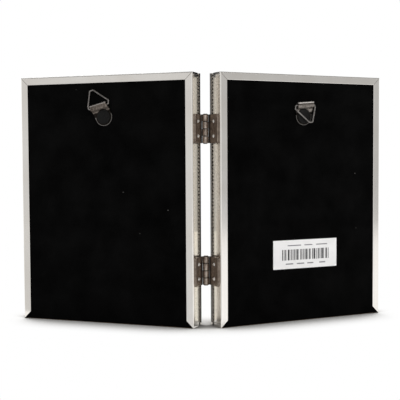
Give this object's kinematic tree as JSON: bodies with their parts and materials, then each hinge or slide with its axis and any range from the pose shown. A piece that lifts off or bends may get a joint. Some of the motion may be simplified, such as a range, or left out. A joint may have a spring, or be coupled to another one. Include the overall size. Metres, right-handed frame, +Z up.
{
  "type": "hinged double photo frame",
  "caption": "Tabletop double photo frame: beaded metal panels hinged like an open book, with glazed fronts, slide-out velvet backs and hanging rings.",
  "frame": {"origin": "middle of the open frame's box, on the surface that it stands on", "axes": "+Z up, pictures face -Y, +X to the right seen from the front; at rest the panels stand open at 135 degrees"},
  "size_m": [0.2572, 0.0642, 0.1715],
  "materials": {
    "plated_sheet": "polished plated sheet",
    "beaded_strip": "polished plated beading",
    "glass": "clear float glass",
    "paper_insert": "plain uncoated paper",
    "corrugated_card": "brown corrugated card",
    "fibreboard": "smooth fibreboard",
    "velvet": "short-pile black velvet",
    "hinge_steel": "dark plated steel",
    "screw_steel": "bright plated steel",
    "hanger_steel": "plated steel strip",
    "ring_wire": "plated steel wire",
    "blackened_rivet": "blackened steel",
    "label_paper": "matt label paper"
  },
  "bodies": {
    "left_frame": {"left_top_rail": "plated_sheet", "left_bottom_rail": "plated_sheet", "left_outer_stile": "plated_sheet", "left_hinge_stile": "plated_sheet", "left_bead_border": "beaded_strip", "left_glass": "glass", "left_photo_insert": "paper_insert", "left_backing_pad": "corrugated_card", "upper_hinge_left_leaf": "hinge_steel", "upper_hinge_left_screws": "screw_steel", "lower_hinge_left_leaf": "hinge_steel", "lower_hinge_left_screws": "screw_steel", "upper_hinge_pin": "hinge_steel", "lower_hinge_pin": "hinge_steel"},
    "left_back": {"left_back_board": "fibreboard", "left_velvet_back": "velvet", "left_hanger_rivet": "blackened_rivet", "stock_label": "label_paper"},
    "left_strap": {"left_hanger_strap": "hanger_steel"},
    "left_ring": {"left_hanger_ring": "ring_wire"},
    "right_frame": {"right_top_rail": "plated_sheet", "right_bottom_rail": "plated_sheet", "right_outer_stile": "plated_sheet", "right_hinge_stile": "plated_sheet", "right_bead_border": "beaded_strip", "right_glass": "glass", "right_photo_insert": "paper_insert", "right_backing_pad": "corrugated_card", "upper_hinge_right_leaf": "hinge_steel", "upper_hinge_right_screws": "screw_steel", "lower_hinge_right_leaf": "hinge_steel", "lower_hinge_right_screws": "screw_steel"},
    "right_back": {"right_back_board": "fibreboard", "right_velvet_back": "velvet", "right_hanger_rivet": "blackened_rivet"},
    "right_strap": {"right_hanger_strap": "hanger_steel"},
    "right_ring": {"right_hanger_ring": "ring_wire"}
  },
  "joints": [
    {"name": "fold", "type": "hinge", "parent": "left_frame", "child": "right_frame", "pos_m": [0, 0.01789, 0.08575], "axis": [0, 0, 1], "range_deg": [-135, 55]},
    {"name": "left_back_slide", "type": "slide", "parent": "left_frame", "child": "left_back", "axis": [0, 0, -1], "range_m": [0, 0.17]},
    {"name": "left_hanger_swivel", "type": "hinge", "parent": "left_back", "child": "left_strap", "pos_m": [-0.06925, 0.00804, 0.14287], "axis": [-0.3827, 0.9239, 0], "continuous": true},
    {"name": "left_ring_flip", "type": "hinge", "parent": "left_strap", "child": "left_ring", "pos_m": [-0.07012, 0.00768, 0.15061], "axis": [0.9214, 0.3817, -0.0732], "range_deg": [0, 167]},
    {"name": "right_back_slide", "type": "slide", "parent": "right_frame", "child": "right_back", "axis": [0, 0, -1], "range_m": [0, 0.17]},
    {"name": "right_hanger_swivel", "type": "hinge", "parent": "right_back", "child": "right_strap", "pos_m": [0.06925, 0.00804, 0.14287], "axis": [0.3827, 0.9239, 0], "continuous": true},
    {"name": "right_ring_flip", "type": "hinge", "parent": "right_strap", "child": "right_ring", "pos_m": [0.07272, 0.0066, 0.1498], "axis": [-0.8945, 0.3705, 0.2504], "range_deg": [0, 172]}
  ]
}
